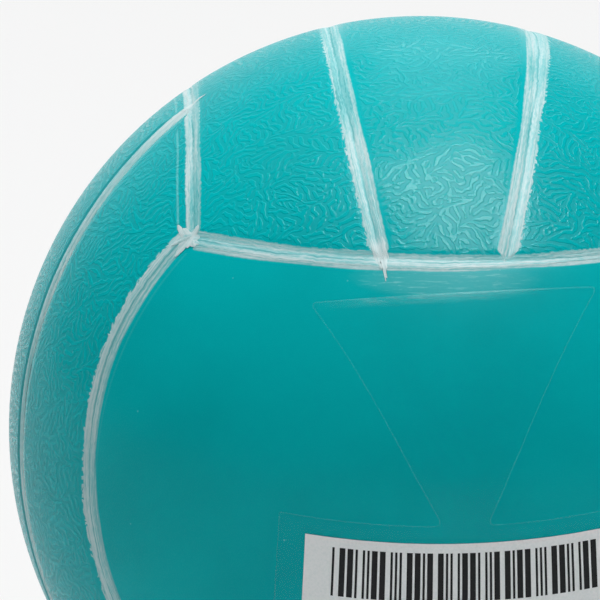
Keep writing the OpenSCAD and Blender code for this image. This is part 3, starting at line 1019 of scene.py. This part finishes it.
def valve_plug(material):
    """Push-in plug: rounded head, ringed stem and the blind needle port with its lead-in."""
    top, under = PLUG_TOP, PLUG_TOP - HEAD_T
    tip = under - STEM_LEN
    core = STEM_R - RING_DEPTH
    mouth = PORT_R + LEAD_IN
    port = [(0, top - PORT_LEN), (PORT_R, top - PORT_LEN), (PORT_R, top - LEAD_IN), (mouth, top - 0.02)]
    face = [(mouth + 0.25, top), (HEAD_R - 0.45, top), (HEAD_R - 0.13, top - 0.13), (HEAD_R, top - 0.45)]
    head_foot = [(HEAD_R, under + 0.25), (HEAD_R - 0.25, under), (core, under)]
    stem = []
    pitch = STEM_LEN / (2 * STEM_RINGS + 1)
    for i in reversed(range(STEM_RINGS)):
        low = tip + (2 * i + 1) * pitch
        high = low + pitch
        stem += [(core, high), (STEM_R - 0.12, high), (STEM_R, high - 0.15)]
        stem += [(STEM_R, low + 0.15), (STEM_R - 0.12, low), (core, low)]
    end = [(core, tip + 1), (core - 1, tip), (0, tip)]
    mesh = spun("valve_plug_body", port + face + head_foot + stem + end, steps=72)
    piece("valve_plug_body", mesh, material, ["valve_plug"], "valve")


def valve(skin):
    valve_collar(skin)
    valve_plug(rubber_finish())


# Studio

def lit_floor():
    """Pale floor that shows as the photograph's background and still takes the ball's shadow. From below and
    from behind it is open, so that the ball can be seen from there too."""
    f = Finish("studio_floor")
    path = f.node("LightPath").outputs
    seen = f.math("MAXIMUM", f.math("MAXIMUM", path["Is Camera Ray"], path["Is Glossy Ray"]),
                  path["Is Transmission Ray"])
    matt = f.node("BsdfDiffuse", FLOOR_GREY)
    glow = f.node("Emission", STUDIO, 1.0)
    paper = f.blend(f.times(seen, FLOOR_GLOW), matt, glow)
    clear = f.node("BsdfTransparent", (1, 1, 1, 1))
    behind = f.node("NewGeometry").outputs["Backfacing"]
    return f.end(f.blend(behind, paper, clear))


def sweep():
    """Floor that runs up into a wall behind the ball, as a roll of studio paper does."""
    bm = bmesh.new()
    bmesh.ops.create_grid(bm, x_segments=6, y_segments=6, size=FLOOR_HALF)
    back = [e for e in bm.edges if all(v.co.y > FLOOR_HALF - 0.01 for v in e.verts)]
    wall = bmesh.ops.extrude_edge_only(bm, edges=back)["geom"]
    raised = [v for v in wall if isinstance(v, bmesh.types.BMVert)]
    bmesh.ops.translate(bm, verts=raised, vec=(0, 0, WALL_HEIGHT))
    bend = [e for e in bm.edges if all(v.co.y > FLOOR_HALF - 0.01 and v.co.z < 0.01 for v in e.verts)]
    bmesh.ops.bevel(bm, geom=bend, offset=WALL_BEND, offset_type="OFFSET", segments=10, profile=0.5,
                    affect="EDGES", material=-1)
    bmesh.ops.translate(bm, verts=bm.verts, vec=(0, 0, -BALL_R * MM - FLOOR_GAP))
    mesh = finished(bm, "studio_sweep")
    mesh.materials.append(lit_floor())
    mesh.shade_smooth()
    made = placed("studio_sweep", mesh)


def studio():
    """Soft boxes that light the ball, cards that only show in its gloss, and a dim surround."""
    sweep()
    world = bpy.data.worlds.new("studio_air")
    bpy.context.scene.world = world
    world.use_nodes = True
    world.node_tree.nodes["Background"].inputs["Color"].default_value = (0.08, 0.10, 0.102, 1)
    lamp("front_softbox", (0.5, -0.5, 3.0), (1.5, 1.5), 57.0)
    lamp("overhead_softbox", (-0.5, 1.0, 3.3), (3.2, 2.4), 94.0)
    lamp("front_fill", (-0.6, -4.0, 0.8), (4.0, 3.0), 4.0)
    lamp("left_strip", (-2.8, 2.2, 1.05), (1.05, 3.0), 7.0)
    lamp("gloss_card", (0.35, -0.7, 3.0), (1.5, 2.0), 240.0, gloss_only=True)
    lamp("rear_gloss_card", (0.2, 2.2, 3.0), (1.1, 2.8), 23.0, gloss_only=True)


def lamp(name, place, size, power, gloss_only=False):
    """A soft rectangular lamp that looks at the ball, and lights it or only shows in its gloss."""
    data = bpy.data.lights.new(name, "AREA")
    data.shape = "RECTANGLE"
    data.size, data.size_y = size
    data.energy = power
    made = placed(name, data)
    made.visible_diffuse = not gloss_only
    made.visible_glossy = gloss_only
    made.location = place
    made.rotation_euler = (-Vector(place)).to_track_quat("-Z", "Y").to_euler()


def camera():
    """Stands where the photograph was taken, turned so that the ball's circle falls where it does there."""
    yaw, pitch, roll = (math.radians(a) for a in (VIEW_YAW, VIEW_PITCH, VIEW_ROLL))
    upright = Matrix(((1, 0, 0), (0, 0, 1), (0, -1, 0)))
    turn = Matrix.Rotation(pitch, 3, "X") @ Matrix.Rotation(yaw, 3, "Y") @ upright
    turn = Matrix.Rotation(roll, 3, "Z") @ turn
    focal = CIRCLE_R * math.sqrt(VIEW_DISTANCE ** 2 - 1)
    aim = Vector(((CIRCLE_X - PICTURE / 2) / focal, (PICTURE / 2 - CIRCLE_Y) / focal, -1)).normalized()
    turn = Vector((0, 0, -1)).rotation_difference(aim).to_matrix() @ turn
    data = bpy.data.cameras.new("photo_camera")
    data.sensor_fit = "HORIZONTAL"
    data.sensor_width = SENSOR
    data.lens = focal / PICTURE * SENSOR
    data.clip_end = VIEW_END
    made = placed("photo_camera", data)
    distance = VIEW_DISTANCE * BALL_R * MM
    place = -(turn.transposed() @ (aim * distance))
    made.matrix_world = Matrix.Translation(place) @ turn.transposed().to_4x4()
    bpy.context.scene.camera = made


# Paint widths on the four sides that seams have, how well the paint covers and how ragged it ends
PAINT_WIDTHS = (
    paint_table(EDGES, EDGE_PAINT, 0, usual=2.5, vary=0.25),
    paint_table(EDGES, EDGE_PAINT, 1, usual=2.75, vary=0.25),
    paint_table(STRIPS, STRIP_PAINT, 0, usual=STRIP_REACH, vary=0.15),
    paint_table(STRIPS, STRIP_PAINT, 1, usual=STRIP_REACH, vary=0.15),
)
STRIP_COVER = paint_table(STRIPS, STRIP_PAINT, 2, usual=0.0, vary=0.05)
EDGE_LEAN = paint_table(EDGES, EDGE_PAINT, 2, usual=0.0, vary=0.25)
EDGE_RAGGED = paint_table(EDGES, EDGE_PAINT, 3, usual=0.35, vary=0.1)

# The whole scene
camera()
studio()
smooth_skin = skin_finish("smooth_skin", 0, gloss=0.27, shine=0.06)
skin_panels(smooth_skin)
seam_paint()
label()
valve(smooth_skin)
bpy.context.scene.view_settings.view_transform = "Standard"
